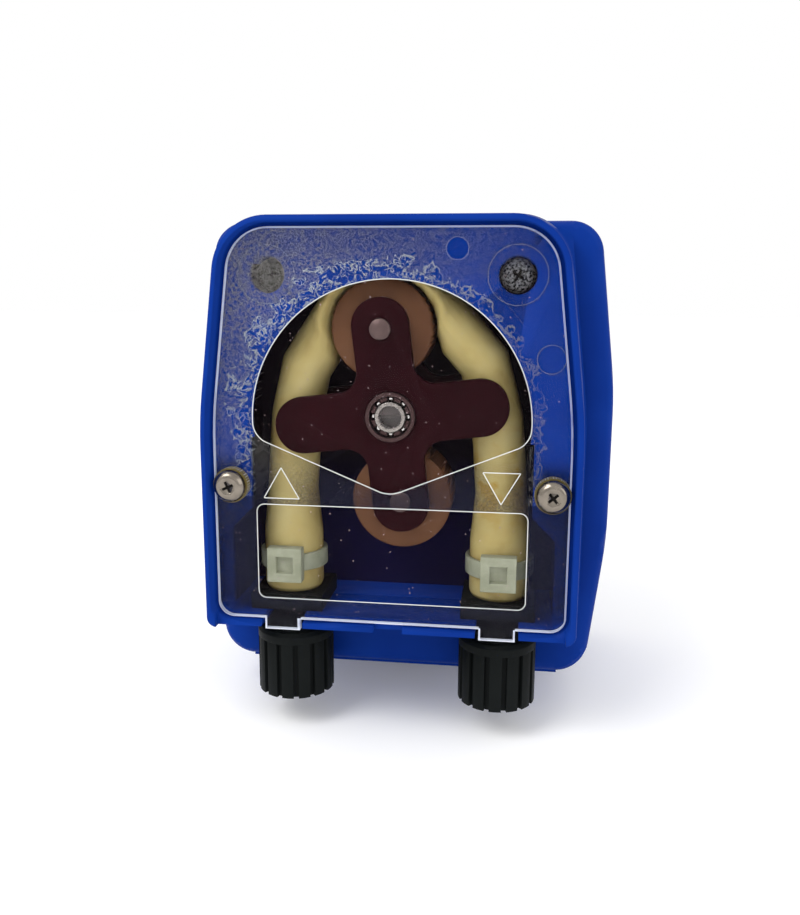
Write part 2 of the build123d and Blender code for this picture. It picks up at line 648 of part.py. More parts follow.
def make_ring_nut(side):
    """Fluted ring nut with a plain collar and an inward lip round the hose hole."""
    x = side * PORT_X
    low = NUT_TOP - NUT_HEIGHT
    collar_low = NUT_TOP - NUT_COLLAR
    collar = post(x, HOSE_PLANE, NUT_R, collar_low, NUT_TOP)
    collar = chamfer(collar.edges().sort_by(Axis.Z)[-1], NUT_EDGE)
    grip = Pos(x, HOSE_PLANE, low) * extrude(nut_profile(), amount=collar_low - low)
    nut = collar + grip
    nut -= post(x, HOSE_PLANE, THREAD_R + RUNNING, low + NUT_LIP, NUT_TOP + 1)
    return nut - post(x, HOSE_PLANE, NUT_MOUTH_R, low - 1, NUT_TOP)


# --- cable gland ----------------------------------------------------------------------------
def make_cable_gland():
    low = CASE_BOTTOM - GLAND_LENGTH
    hex_low = CASE_BOTTOM - GLAND_HEX_HEIGHT
    dome = post(0, GLAND_DEPTH, GLAND_R, low, hex_low)
    dome = chamfer(dome.edges().sort_by(Axis.Z)[0], GLAND_EDGE)
    hexagon = Pos(0, GLAND_DEPTH, hex_low) * extrude(RegularPolygon(GLAND_HEX / 2, 6, major_radius=False),
                                                     amount=GLAND_HEX_HEIGHT)
    thread = post(0, GLAND_DEPTH, GLAND_THREAD_R, CASE_BOTTOM, CASE_BOTTOM + GLAND_THREAD_LENGTH)
    gland = dome + hexagon + thread
    return gland - post(0, GLAND_DEPTH, GLAND_BORE_R, low - 1, CASE_BOTTOM + GLAND_THREAD_LENGTH + SCREW_END)


# --- all parts ------------------------------------------------------------------------------
def all_parts():
    parts = {
        "wall_bracket": make_wall_bracket(),
        "rear_casing": make_rear_casing(),
        "back_panel": make_back_panel(),
        "head_casing": make_head_casing(),
        "front_cover": make_front_cover(),
        "rotor_front_plate": make_rotor_front(),
        "rotor_rear_plate": make_rotor_rear(),
        "output_shaft": make_output_shaft(),
        "bearing_outer_ring": bearing_ring(BALL_PITCH_R + RING_GAP, BEARING_R),
        "bearing_inner_ring": bearing_ring(BEARING_BORE_R, BALL_PITCH_R - RING_GAP),
        "bearing_cage": make_cage(),
        "pump_tube": make_tube(),
        "cable_gland": make_cable_gland(),
    }
    for number, (x, z) in enumerate(ball_places(), start=1):
        parts[f"bearing_ball_{number}"] = make_ball(x, z)
    for name, side in (("top", 1), ("bottom", -1)):
        parts[f"roller_{name}"] = make_roller(side)
        parts[f"roller_pin_{name}"] = make_roller_pin(side)
    for name, side in (("left", -1), ("right", 1)):
        parts[f"hose_connector_{name}"] = make_connector(side)
        parts[f"ring_nut_{name}"] = make_ring_nut(side)
        parts[f"cable_tie_{name}"] = make_tie(side)
        parts[f"screw_grommet_{name}"] = make_grommet(side)
        parts[f"cover_screw_{name}"] = pan_screw(side * COVER_SCREW_X, COVER_SCREW_Z, 0, SCREW_HEAD_R,
                                                 SCREW_LENGTH)
        parts[f"casing_screw_{name}"] = pan_screw(side * WELL_X, WELL_Z, CASE_SCREW_SEAT, CASE_SCREW_HEAD_R,
                                                  CASE_SCREW_LENGTH)
    return parts


os.makedirs("parts", exist_ok=True)
for node, shape in all_parts().items():
    export_step(PLACE * shape, f"parts/{node}.step")
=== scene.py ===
import json
from math import cos, hypot, pi, radians, sin, sqrt

import bpy
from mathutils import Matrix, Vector


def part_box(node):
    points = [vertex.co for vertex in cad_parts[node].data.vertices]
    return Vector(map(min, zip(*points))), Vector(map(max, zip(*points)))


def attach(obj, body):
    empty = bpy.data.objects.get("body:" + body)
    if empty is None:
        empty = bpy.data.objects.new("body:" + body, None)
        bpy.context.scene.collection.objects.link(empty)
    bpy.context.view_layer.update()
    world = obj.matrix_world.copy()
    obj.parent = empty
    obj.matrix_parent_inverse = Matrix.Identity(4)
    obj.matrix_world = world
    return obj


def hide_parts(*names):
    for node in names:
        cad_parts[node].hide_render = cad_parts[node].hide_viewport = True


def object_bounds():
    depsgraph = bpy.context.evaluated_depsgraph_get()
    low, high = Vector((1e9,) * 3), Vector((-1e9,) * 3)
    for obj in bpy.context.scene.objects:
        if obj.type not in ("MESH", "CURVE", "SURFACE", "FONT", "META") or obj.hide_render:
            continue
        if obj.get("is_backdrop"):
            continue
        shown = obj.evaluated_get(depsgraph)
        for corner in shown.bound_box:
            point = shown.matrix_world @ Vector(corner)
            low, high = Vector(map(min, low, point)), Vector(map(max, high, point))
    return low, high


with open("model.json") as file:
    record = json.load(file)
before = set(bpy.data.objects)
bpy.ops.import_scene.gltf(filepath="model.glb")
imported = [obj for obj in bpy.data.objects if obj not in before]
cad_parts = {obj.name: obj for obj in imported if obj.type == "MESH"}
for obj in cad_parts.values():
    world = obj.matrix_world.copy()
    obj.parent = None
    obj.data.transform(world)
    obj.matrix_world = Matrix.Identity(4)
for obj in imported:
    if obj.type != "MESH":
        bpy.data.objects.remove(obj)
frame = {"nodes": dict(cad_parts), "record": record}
cad_low, cad_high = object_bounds()


# ============================================================================================
# Casing: head casing, rear casing, back panel and wall bracket. Injection-moulded in one
# royal-blue plastic with a fine spark grain, screwed together through two deep wells.
# ============================================================================================
BLUE = (0.0024, 0.026, 0.215, 1.0)
BLUE_WORN = (0.0032, 0.033, 0.25, 1.0)
CASING_ROUGH = 0.38
CASING_SHINE = 0.035
AXIS_Z = 0.0145              # height of the rotor's axis
# painted shade: the chamber's plastic is darkened from CHAMBER_FRONT back, within these bounds
CHAMBER_FRONT = -0.0968      # the chamber darkens from here back
CHAMBER_FADE = 0.003
CHAMBER_HALF = 0.0440
CHAMBER_LOW = -0.0385
CHAMBER_HIGH = 0.0534
MERGE_GAP = 0.000005
MIX_A, MIX_B, MIX_COLOUR = 6, 7, 2   # colour sockets of a Mix node


def only(obj):
    """Make one object the only selected and active one."""
    bpy.ops.object.select_all(action="DESELECT")
    obj.select_set(True)
    bpy.context.view_layer.objects.active = obj
    return obj


def merged_copy(node, name):
    """A closed copy of a CAD node's mesh with flat areas joined, to be worked on."""
    source = frame["nodes"][node]
    obj = bpy.data.objects.new(name, source.data.copy())
    bpy.context.scene.collection.objects.link(obj)
    obj.data.materials.clear()
    only(obj)
    bpy.ops.object.mode_set(mode="EDIT")
    bpy.ops.mesh.select_all(action="SELECT")
    bpy.ops.mesh.remove_doubles(threshold=MERGE_GAP)
    bpy.ops.mesh.normals_make_consistent(inside=False)
    bpy.ops.object.mode_set(mode="OBJECT")
    return obj


def body_of(node):
    """The body that carries a node."""
    for body, nodes in frame["record"]["behaviour"]["bodies"].items():
        if node in nodes:
            return body
    raise KeyError(node)


def stand_for(obj, node, material):
    """Let a finished piece stand for a CAD node, in its material."""
    obj.data.materials.clear()
    obj.data.materials.append(material)
    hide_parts(node)
    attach(obj, body_of(node))
    return obj


def smooth(obj, degrees_limit):
    """Smooth shading, broken at sharper edges."""
    only(obj)
    bpy.ops.object.shade_smooth_by_angle(angle=radians(degrees_limit))


def soften(obj, width, segments, limit=30.0):
    """Small rounding of every edge sharper than a limit."""
    only(obj)
    bpy.ops.object.mode_set(mode="EDIT")
    bpy.ops.mesh.select_all(action="SELECT")
    bpy.ops.mesh.dissolve_limited(angle_limit=radians(1.0))
    bpy.ops.object.mode_set(mode="OBJECT")
    bevel = obj.modifiers.new("edges", "BEVEL")
    bevel.width = width
    bevel.segments = segments
    bevel.limit_method = "ANGLE"
    bevel.angle_limit = radians(limit)
    bpy.ops.object.modifier_apply(modifier=bevel.name)


def empty_shader(name):
    """A new material, its node tree and its shader."""
    material = bpy.data.materials.new(name)
    material.use_nodes = True
    tree = material.node_tree
    return material, tree, tree.nodes["Principled BSDF"]


def noise(tree, scale, detail=3.0, distortion=0.0):
    """Noise that stays on the piece."""
    place = tree.nodes.new("ShaderNodeTexCoord")
    pattern = tree.nodes.new("ShaderNodeTexNoise")
    pattern.inputs["Scale"].default_value = scale
    pattern.inputs["Detail"].default_value = detail
    pattern.inputs["Distortion"].default_value = distortion
    tree.links.new(place.outputs["Object"], pattern.inputs["Vector"])
    return pattern


def ramp(tree, source, stops):
    """Colour ramp over a value; stops are pairs of position and colour."""
    node = tree.nodes.new("ShaderNodeValToRGB")
    while len(node.color_ramp.elements) < len(stops):
        node.color_ramp.elements.new(0.5)
    for element, (position, colour) in zip(node.color_ramp.elements, stops):
        element.position = position
        element.color = colour
    tree.links.new(source, node.inputs["Fac"])
    return node


def spread(tree, source, from_low, from_high, to_low, to_high):
    """A value mapped from one range to another."""
    node = tree.nodes.new("ShaderNodeMapRange")
    node.inputs["From Min"].default_value = from_low
    node.inputs["From Max"].default_value = from_high
    node.inputs["To Min"].default_value = to_low
    node.inputs["To Max"].default_value = to_high
    tree.links.new(source, node.inputs["Value"])
    return node.outputs["Result"]


def separate(tree):
    """X, Y and Z of the place on the piece."""
    place = tree.nodes.new("ShaderNodeTexCoord")
    parts = tree.nodes.new("ShaderNodeSeparateXYZ")
    tree.links.new(place.outputs["Object"], parts.inputs["Vector"])
    return parts.outputs["X"], parts.outputs["Y"], parts.outputs["Z"]


def maths(tree, operation, first, second=None, clamp=False):
    """Maths node on values or links."""
    node = tree.nodes.new("ShaderNodeMath")
    node.operation = operation
    node.use_clamp = clamp
    for socket, value in zip(node.inputs, (first, second)):
        if value is None:
            continue
        if isinstance(value, (int, float)):
            socket.default_value = value
        else:
            tree.links.new(value, socket)
    return node.outputs["Value"]


def mixed(tree, share, first, second):
    """Colour mixed by a share; each colour is a link or four numbers."""
    node = tree.nodes.new("ShaderNodeMix")
    node.data_type = "RGBA"
    tree.links.new(share, node.inputs["Factor"])
    for socket, value in ((node.inputs[MIX_A], first), (node.inputs[MIX_B], second)):
        if isinstance(value, tuple):
            socket.default_value = value
        else:
            tree.links.new(value, socket)
    return node.outputs[MIX_COLOUR]


def bump(tree, shader, source, strength, height):
    """Bump from a value, its height in metres."""
    node = tree.nodes.new("ShaderNodeBump")
    node.inputs["Strength"].default_value = strength
    node.inputs["Distance"].default_value = height
    tree.links.new(source, node.inputs["Height"])
    tree.links.new(node.outputs["Normal"], shader.inputs["Normal"])


def uneven_gloss(tree, shader, pattern, low, high):
    """Roughness that follows a fine pattern."""
    tree.links.new(spread(tree, pattern.outputs["Fac"], 0.3, 0.7, low, high), shader.inputs["Roughness"])


def tinted(tree, shader, pattern, stops):
    """Base colour that follows a pattern."""
    tint = ramp(tree, pattern.outputs["Fac"], stops)
    tree.links.new(tint.outputs["Color"], shader.inputs["Base Color"])


def moulded_plastic(name, colour, worn, rough, shine, grain=2600.0, height=0.00004, strength=0.3):
    """Moulded plastic: slow changes of colour, fine grain in the gloss and the surface."""
    material, tree, shader = empty_shader(name)
    slow = noise(tree, 45.0, 5.0)
    fine = noise(tree, grain, 2.0)
    tinted(tree, shader, slow, [(0.35, colour), (0.7, worn)])
    uneven_gloss(tree, shader, fine, rough, rough + 0.15)
    bump(tree, shader, fine.outputs["Fac"], strength, height)
    shader.inputs["Specular IOR Level"].default_value = shine
    return material


def finish_nodes(material, *names):
    """Give CAD nodes one material."""
    for name in names:
        mesh = frame["nodes"][name].data
        mesh.materials.clear()
        mesh.materials.append(material)


def chamber_shade(material):
    """Painted shade: darken the plastic in the depth of the roller chamber, near black higher up and navy
    lower down.
    """
    tree = material.node_tree
    shader = tree.nodes["Principled BSDF"]
    plain = shader.inputs["Base Color"].links[0].from_socket
    x, y, z = separate(tree)
    deep = spread(tree, y, CHAMBER_FRONT, CHAMBER_FRONT + CHAMBER_FADE, 0.0, 1.0)
    beside = maths(tree, "LESS_THAN", maths(tree, "ABSOLUTE", x), CHAMBER_HALF)
    above = maths(tree, "GREATER_THAN", z, CHAMBER_LOW)
    below = maths(tree, "LESS_THAN", z, CHAMBER_HIGH)
    inside = maths(tree, "MULTIPLY", maths(tree, "MULTIPLY", beside, above), below)
    share = maths(tree, "MULTIPLY", inside, deep)
    low = spread(tree, z, AXIS_Z - 0.026, AXIS_Z - 0.014, 1.0, 0.0)
    # painted shade colours, not a stain: near black higher up, navy lower down
    stain = mixed(tree, low, (0.0035, 0.0026, 0.008, 1.0), (0.0035, 0.0032, 0.034, 1.0))
    tree.links.new(mixed(tree, share, plain, stain), shader.inputs["Base Color"])
    return material


casing_blue = moulded_plastic("casing_blue", BLUE, BLUE_WORN, CASING_ROUGH, CASING_SHINE)
finish_nodes(casing_blue, "back_panel", "wall_bracket")
# the head casing's blue carries the painted shade of the roller chamber
head_blue_painted_shade = chamber_shade(moulded_plastic("head_blue_painted_shade", BLUE, BLUE_WORN, CASING_ROUGH, CASING_SHINE))
for node, material in (("rear_casing", casing_blue), ("head_casing", head_blue_painted_shade)):
    smooth(stand_for(merged_copy(node, node + "_shell"), node, material), 32.0)


# ============================================================================================
# Rotor: two black moulded cross plates keyed on the steel output shaft. Two tan rollers turn on
# steel pins between the plates and squeeze the hose.
# ============================================================================================
PLATE_EDGE = 0.00035
# the plates' black plastic is tinted dull red: a painted red reflection
rotor_black = moulded_plastic("rotor_black", (0.011, 0.0012, 0.0024, 1.0), (0.016, 0.0020, 0.0036, 1.0),
                              0.25, 0.03, 2200.0, 0.000006, 0.1)
for node in ("rotor_front_plate", "rotor_rear_plate"):
    plate = merged_copy(node, node + "_moulded")
    soften(plate, PLATE_EDGE, 2, 50.0)
    smooth(stand_for(plate, node, rotor_black), 35.0)


def turned_plastic():
    """Tan plastic, slightly uneven in colour and gloss."""
    material, tree, shader = empty_shader("roller_tan")
    slow = noise(tree, 90.0, 5.0)
    fine = noise(tree, 1800.0, 2.0)
    tinted(tree, shader, slow, [(0.3, (0.085, 0.036, 0.018, 1.0)), (0.7, (0.13, 0.060, 0.030, 1.0))])
    uneven_gloss(tree, shader, fine, 0.3, 0.45)
    shader.inputs["Specular IOR Level"].default_value = 0.06
    bump(tree, shader, fine.outputs["Fac"], 0.1, 0.00001)
    return material


roller_tan = turned_plastic()
for node in ("roller_top", "roller_bottom"):
    smooth(stand_for(merged_copy(node, node + "_turned"), node, roller_tan), 30.0)


def plain_metal(name, colour, rough, streak=1400.0):
    """Bare metal with fine uneven gloss."""
    material, tree, shader = empty_shader(name)
    fine = noise(tree, streak, 4.0)
    dark = tuple(0.7 * c for c in colour[:3]) + (1.0,)
    tinted(tree, shader, fine, [(0.3, dark), (0.7, colour)])
    uneven_gloss(tree, shader, fine, rough, rough + 0.12)
    shader.inputs["Metallic"].default_value = 1.0
    return material


# painted reflection: the steel's dark reddish colour stands in for the dull red it reflects
pin_steel_painted_reflection = plain_metal("pin_steel_painted_reflection", (0.135, 0.092, 0.088, 1.0), 0.4)
for node in ("roller_pin_top", "roller_pin_bottom", "output_shaft"):
    smooth(stand_for(merged_copy(node, node + "_ground"), node, pin_steel_painted_reflection), 30.0)


# ============================================================================================
# Rotor bearing: a small deep-groove ball bearing pressed in the front plate. It runs on the
# clear spigot of the cover, and its balls show between the rings.
# ============================================================================================
BALL_RADIUS = 0.00092
BALL_COUNT = 8
POCKET_ROOM = 1.08           # pocket radius as a share of the ball's
RING_EDGE = 0.00012
# two copies of one steel: the outer ring and cage carry a painted dark reddish reflection, the inner ring a
# painted bright one
ring_dark_painted_reflection = plain_metal("ring_dark_painted_reflection", (0.075, 0.045, 0.045, 1.0), 0.3)
ring_bright_painted_reflection = plain_metal("ring_bright_painted_reflection", (0.34, 0.31, 0.29, 1.0), 0.2)
ball_steel = plain_metal("ball_steel", (0.75, 0.74, 0.72, 1.0), 0.08)


def settle(obj):
    """Move a primitive's place into its mesh."""
    only(obj)
    bpy.ops.object.transform_apply(location=True, rotation=True, scale=True)
    return obj


def boolean(obj, other):
    """Cut one mesh out of another and remove the cutter."""
    cut = obj.modifiers.new("cut", "BOOLEAN")
    cut.operation = "DIFFERENCE"
    cut.solver = "EXACT"
    cut.object = other
    only(obj)
    bpy.ops.object.modifier_apply(modifier=cut.name)
    bpy.data.objects.remove(other)


def open_pockets(cage):
    """Cut the cage's pockets open to the front, as a crown cage has them, so the balls show."""
    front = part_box("bearing_cage")[0].y
    for number in range(1, BALL_COUNT + 1):
        low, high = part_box(f"bearing_ball_{number}")
        place = (low + high) / 2
        bpy.ops.object.select_all(action="DESELECT")
        bpy.ops.mesh.primitive_cylinder_add(vertices=24, radius=POCKET_ROOM * BALL_RADIUS,
                                            depth=2 * (place.y - front), location=(place.x, front, place.z),
                                            rotation=(pi / 2, 0, 0))
        boolean(cage, settle(bpy.context.object))


for node, material in (("bearing_outer_ring", ring_dark_painted_reflection), ("bearing_inner_ring", ring_bright_painted_reflection),
                       ("bearing_cage", ring_dark_painted_reflection)):
    ring = merged_copy(node, node + "_ground")
    if node == "bearing_cage":
        open_pockets(ring)
    soften(ring, RING_EDGE, 2, 50.0)
    smooth(stand_for(ring, node, material), 35.0)

for number in range(1, BALL_COUNT + 1):
    node = f"bearing_ball_{number}"
    low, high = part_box(node)
    bpy.ops.object.select_all(action="DESELECT")
    bpy.ops.mesh.primitive_uv_sphere_add(segments=24, ring_count=12, radius=BALL_RADIUS,
                                         location=(low + high) / 2)
    ball = settle(bpy.context.object)
    ball.name = node + "_polished"
    smooth(stand_for(ball, node, ball_steel), 60.0)


# ============================================================================================
# Pumping hose: cream rubber, swollen at its feet over the barbs, pressed flat between the top
# roller and the race. It's mottled, and stained yellow on its right leg.
# ============================================================================================
STAIN_Z = -0.002             # height of the stain's middle
STAIN_FADE = 55.0            # per metre away from it


def aged_rubber():
    """Cream rubber with brown mottling and a yellow stain."""
    material, tree, shader = empty_shader("tube_rubber")
    slow = noise(tree, 55.0, 6.0, 0.4)
    fine = noise(tree, 1500.0, 3.0)
    x, _, z = separate(tree)
    tint = ramp(tree, slow.outputs["Fac"], [(0.30, (0.27, 0.195, 0.065, 1.0)),
                                            (0.48, (0.40, 0.32, 0.125, 1.0)),
                                            (0.75, (0.47, 0.40, 0.19, 1.0))])
    away = maths(tree, "ABSOLUTE", maths(tree, "SUBTRACT", z, STAIN_Z))
    near = maths(tree, "SUBTRACT", 1.0, maths(tree, "MULTIPLY", away, STAIN_FADE))
    right = maths(tree, "GREATER_THAN", x, 0.0)
    spot = spread(tree, noise(tree, 170.0, 4.0).outputs["Fac"], 0.5, 0.62, 0.0, 0.8)
    share = maths(tree, "MULTIPLY", maths(tree, "MULTIPLY", spot, right), near, True)
    stained = mixed(tree, share, tint.outputs["Color"], (0.34, 0.20, 0.02, 1.0))
    tree.links.new(stained, shader.inputs["Base Color"])
    uneven_gloss(tree, shader, fine, 0.42, 0.6)
    bump(tree, shader, fine.outputs["Fac"], 0.25, 0.00003)
    shader.inputs["Specular IOR Level"].default_value = 0.12
    shader.inputs["Subsurface Weight"].default_value = 0.12
    shader.inputs["Subsurface Radius"].default_value = (0.003, 0.0018, 0.0008)
    return material


hose = stand_for(merged_copy("pump_tube", "pump_hose"), "pump_tube", aged_rubber())
smooth(hose, 50.0)


# ============================================================================================
# Ports: black flanged connectors slid into the floor, fluted black ring nuts below it, and
# milky nylon cable ties that hold the hose on its barbs.
# ============================================================================================
NUT_EDGE = 0.00055
TIE_EDGE = 0.0004
port_black = moulded_plastic("port_black", (0.005, 0.0062, 0.0062, 1.0), (0.008, 0.0095, 0.0095, 1.0),
                             0.42, 0.05)
finish_nodes(port_black, "cable_gland")
for node in ("hose_connector_left", "hose_connector_right"):
    smooth(stand_for(merged_copy(node, node + "_moulded"), node, port_black), 30.0)
for node in ("ring_nut_left", "ring_nut_right"):
    nut = merged_copy(node, node + "_fluted")
    soften(nut, NUT_EDGE, 3, 35.0)
    smooth(stand_for(nut, node, port_black), 40.0)


def milky_nylon():
    """Natural nylon: pale, slightly green, light passing a little way in."""
    material, tree, shader = empty_shader("tie_nylon")
    slow = noise(tree, 220.0, 4.0)
    tinted(tree, shader, slow, [(0.3, (0.25, 0.265, 0.185, 1.0)), (0.7, (0.36, 0.375, 0.28, 1.0))])
    uneven_gloss(tree, shader, slow, 0.3, 0.42)
    shader.inputs["Subsurface Weight"].default_value = 0.3
    shader.inputs["Subsurface Radius"].default_value = (0.003, 0.003, 0.0025)
    shader.inputs["Specular IOR Level"].default_value = 0.2
    shader.inputs["Alpha"].default_value = 0.84
    return material


tie_nylon = milky_nylon()
for node in ("cable_tie_left", "cable_tie_right"):
    tie = merged_copy(node, node + "_moulded")
    soften(tie, TIE_EDGE, 3, 50.0)
    smooth(stand_for(tie, node, tie_nylon), 40.0)


# ============================================================================================
# Screws: nickel-plated pan heads with a cross recess. Two hold the cover through olive rubber
# grommets, and two longer ones sit in the wells and hold the head casing on the rear casing.
# ============================================================================================
CROSS_WIDE = 0.0009
CROSS_LONG = 0.0044
CROSS_DEEP = 0.0013
CROSS_MOUTH = 0.00012        # a recess face starts this far under the head's top
HEAD_DOME = 0.0009


def cross_arm(place, turn):
    """One arm of the cross recess, narrowing inwards."""
    bpy.ops.object.select_all(action="DESELECT")
    bpy.ops.mesh.primitive_cube_add(size=1, location=place, scale=(CROSS_LONG, 2 * CROSS_DEEP, CROSS_WIDE))
    obj = settle(bpy.context.object)
    bpy.ops.object.mode_set(mode="EDIT")
    bpy.ops.mesh.select_mode(type="FACE")
    bpy.ops.mesh.select_all(action="DESELECT")
    bpy.ops.object.mode_set(mode="OBJECT")
    for face in obj.data.polygons:
        face.select = face.normal.y > 0.9
    bpy.ops.object.mode_set(mode="EDIT")
    bpy.ops.transform.resize(value=(0.45, 1, 0.55), center_override=place)
    bpy.ops.mesh.select_all(action="SELECT")
    bpy.ops.transform.rotate(value=turn, orient_axis="Y", center_override=place)
    bpy.ops.object.mode_set(mode="OBJECT")
    return obj


def crossed_screw(node, turn, material):
    """CAD screw with a domed head and a cross recess in near-black painted shade. The shank takes this dark
    painted shade too.
    """
    low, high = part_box(node)
    middle = (low + high) / 2
    screw = merged_copy(node, node + "_domed")
    soften(screw, HEAD_DOME, 4, 35.0)
    front = Vector((middle.x, low.y, middle.z))
    boolean(screw, cross_arm(front, turn))
    boolean(screw, cross_arm(front, turn + pi / 2))
    stand_for(screw, node, material)
    screw.data.materials.append(recess_painted_shade)
    for face in screw.data.polygons:
        near = hypot(face.center.x - front.x, face.center.z - front.z) < CROSS_LONG * 0.52
        under = face.center.y - front.y
        wall = under > CROSS_MOUTH and abs(face.normal.y) < 0.97
        if near and (wall or under > 0.9 * CROSS_DEEP):
            face.material_index = 1
    smooth(screw, 40.0)


# painted shade: the recess is the same metal, painted near black where shade falls in it
recess_painted_shade = plain_metal("recess_painted_shade", (0.03, 0.027, 0.025, 1.0), 0.5)
screw_nickel = plain_metal("screw_nickel", (0.27, 0.235, 0.195, 1.0), 0.16, 500.0)
crossed_screw("cover_screw_left", radians(25), screw_nickel)
crossed_screw("cover_screw_right", radians(40), screw_nickel)


def speckled_head(name, dark, light, scale):
    """Steel head in its well, its colour speckled by noise between two colours."""
    material, tree, shader = empty_shader(name)
    dust = noise(tree, scale, 3.0)
    tinted(tree, shader, dust, [(0.4, dark), (0.62, light)])
    shader.inputs["Roughness"].default_value = 0.5
    shader.inputs["Specular IOR Level"].default_value = 0.1
    return material


# the left head stays dark and even; the right head's bright specks are painted glints of reflected light
crossed_screw("casing_screw_left", radians(10),
              speckled_head("head_dull", (0.045, 0.047, 0.036, 1.0), (0.075, 0.078, 0.062, 1.0), 800.0))
crossed_screw("casing_screw_right", radians(60),
              speckled_head("head_painted_glints", (0.02, 0.02, 0.02, 1.0), (0.42, 0.42, 0.42, 1.0), 1500.0))
grommet_olive = moulded_plastic("grommet_olive", (0.10, 0.075, 0.018, 1.0), (0.17, 0.13, 0.04, 1.0),
                                0.35, 0.3)
finish_nodes(grommet_olive, "screw_grommet_left", "screw_grommet_right")


# ============================================================================================
# Front cover: a clear plastic sheet with a bright chamfered edge, two tabs that close the port
# slots and a spigot for the rotor bearing. Fine pale dust lies on it.
# ============================================================================================
SHEET_THICK = 0.0024
SPIGOT_REACH = 0.0045
CLEAR_IOR = 1.58


def clear_plastic(name, tint, alpha, rough, painted_glow=0.0):
    """Clear sheet that lets the view through under a thin glossy haze."""
    material, tree, shader = empty_shader(name)
    shader.inputs["Base Color"].default_value = tint
    shader.inputs["Alpha"].default_value = alpha
    shader.inputs["IOR"].default_value = CLEAR_IOR
    fine = noise(tree, 900.0, 3.0)
    uneven_gloss(tree, shader, fine, rough, rough + 0.06)
    # painted glow: emission brightens the part, though it is no lamp
    if painted_glow:
        shader.inputs["Emission Color"].default_value = (0.80, 0.87, 1.0, 1.0)
        shader.inputs["Emission Strength"].default_value = painted_glow
    return material


def dusty_clear():
    """Clear sheet with sparse pale dust specks."""
    material = clear_plastic("cover_clear", (0.60, 0.45, 0.48, 1.0), 0.02, 0.04)
    tree = material.node_tree
    shader = tree.nodes["Principled BSDF"]
    place = tree.nodes.new("ShaderNodeTexCoord")
    cells = tree.nodes.new("ShaderNodeTexVoronoi")
    cells.inputs["Scale"].default_value = 520.0
    tree.links.new(place.outputs["Object"], cells.inputs["Vector"])
    sparse = noise(tree, 260.0, 2.0)
    speck = maths(tree, "LESS_THAN", cells.outputs["Distance"], 0.085)
    some = maths(tree, "GREATER_THAN", sparse.outputs["Fac"], 0.56)
    dust = maths(tree, "MULTIPLY", maths(tree, "MULTIPLY", speck, some), 0.5)
    tree.links.new(maths(tree, "ADD", dust, 0.003), shader.inputs["Alpha"])
    return material


cover_clear = dusty_clear()
# painted highlight: the chamfered edge glows white-blue
cover_edge_painted_glow = clear_plastic("cover_edge_painted_glow", (0.80, 0.84, 0.95, 1.0), 0.78, 0.3, 0.12)
spigot_clear = clear_plastic("spigot_clear", (0.75, 0.70, 0.70, 1.0), 0.22, 0.06)
cover = merged_copy("front_cover", "cover_sheet")
SHEET_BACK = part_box("front_cover")[0].y + SHEET_THICK
for material in (cover_clear, cover_edge_painted_glow, spigot_clear):
    cover.data.materials.append(material)
for face in cover.data.polygons:
    from_axis = hypot(face.center.x, face.center.z - AXIS_Z)
    if from_axis < SPIGOT_REACH:
        face.material_index = 2
    elif abs(face.normal.y) < 0.95:
        face.material_index = 1
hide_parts("front_cover")
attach(cover, "cover")


# ============================================================================================
# Frosting: the back of the cover is spark-grained, apart from polished windows: a large arch
# over the rotor, a rectangle over the hose's feet, two flow triangles and a small disc. Grease
# has wetted the grain just outside the arch.
# ============================================================================================
FILM = 0.00008
ARCH_R = 0.0366
ARCH_Z = AXIS_Z - 0.0013
V_DROP = 0.0209
V_SLOPE = radians(22.3)
CORNER_CUT = 0.0042
V_ROUND = 0.0029
LINE_WIDE = 0.00024
RING_WIDE = 0.0002
LINE_DEEP = 0.0001
LINE_SHIFT = 0.00022         # lines lie this far inside the sheet
CUT_DEPTH = 0.001
MID_SHEET = 0.0012
FILM_GAP = 0.00002
CORNER_TOUCH = 0.0002
BOX_LEFT = -0.0360
BOX_RIGHT = 0.0364
BOX_TOP = AXIS_Z - 0.0240
BOX_BOTTOM = AXIS_Z - 0.0505
BOX_CORNER = 0.0022
TRIANGLE_R = 0.0058
TRIANGLE_TIP = 0.0004
GREASE_LOW = -0.022          # the grease ends at this height under the axis


def flat_circle(x, z, radius, sides=48, turn=0.0):
    """Flat round face on the back of the sheet, facing the front."""
    bpy.ops.object.select_all(action="DESELECT")
    bpy.ops.mesh.primitive_circle_add(vertices=sides, radius=radius, fill_type="NGON",
                                      location=(x, SHEET_BACK, z), rotation=(pi / 2, turn, 0))
    return settle(bpy.context.object)


def flat_box(low_x, high_x, low_z, high_z):
    """Flat rectangle on the back of the sheet, facing the front."""
    bpy.ops.object.select_all(action="DESELECT")
    place = ((low_x + high_x) / 2, SHEET_BACK, (low_z + high_z) / 2)
    bpy.ops.mesh.primitive_plane_add(size=1, location=place, rotation=(pi / 2, 0, 0))
    bpy.context.object.scale = (high_x - low_x, high_z - low_z, 1)
    return settle(bpy.context.object)


def pick_points(obj, wanted):
    """Select the vertices whose place passes a test, and stay in edit mode."""
    only(obj)
    bpy.ops.object.mode_set(mode="EDIT")
    bpy.ops.mesh.select_mode(type="VERT")
    bpy.ops.mesh.select_all(action="DESELECT")
    bpy.ops.object.mode_set(mode="OBJECT")
    for point in obj.data.vertices:
        point.select = wanted(point.co)
    bpy.ops.object.mode_set(mode="EDIT")


def round_points(obj, width, wanted):
    """Round the corners of a flat face that a test picks."""
    pick_points(obj, wanted)
    bpy.ops.mesh.bevel(offset=width, offset_type="OFFSET", segments=8, affect="VERTICES",
                       clamp_overlap=False)
    bpy.ops.object.mode_set(mode="OBJECT")
    return obj


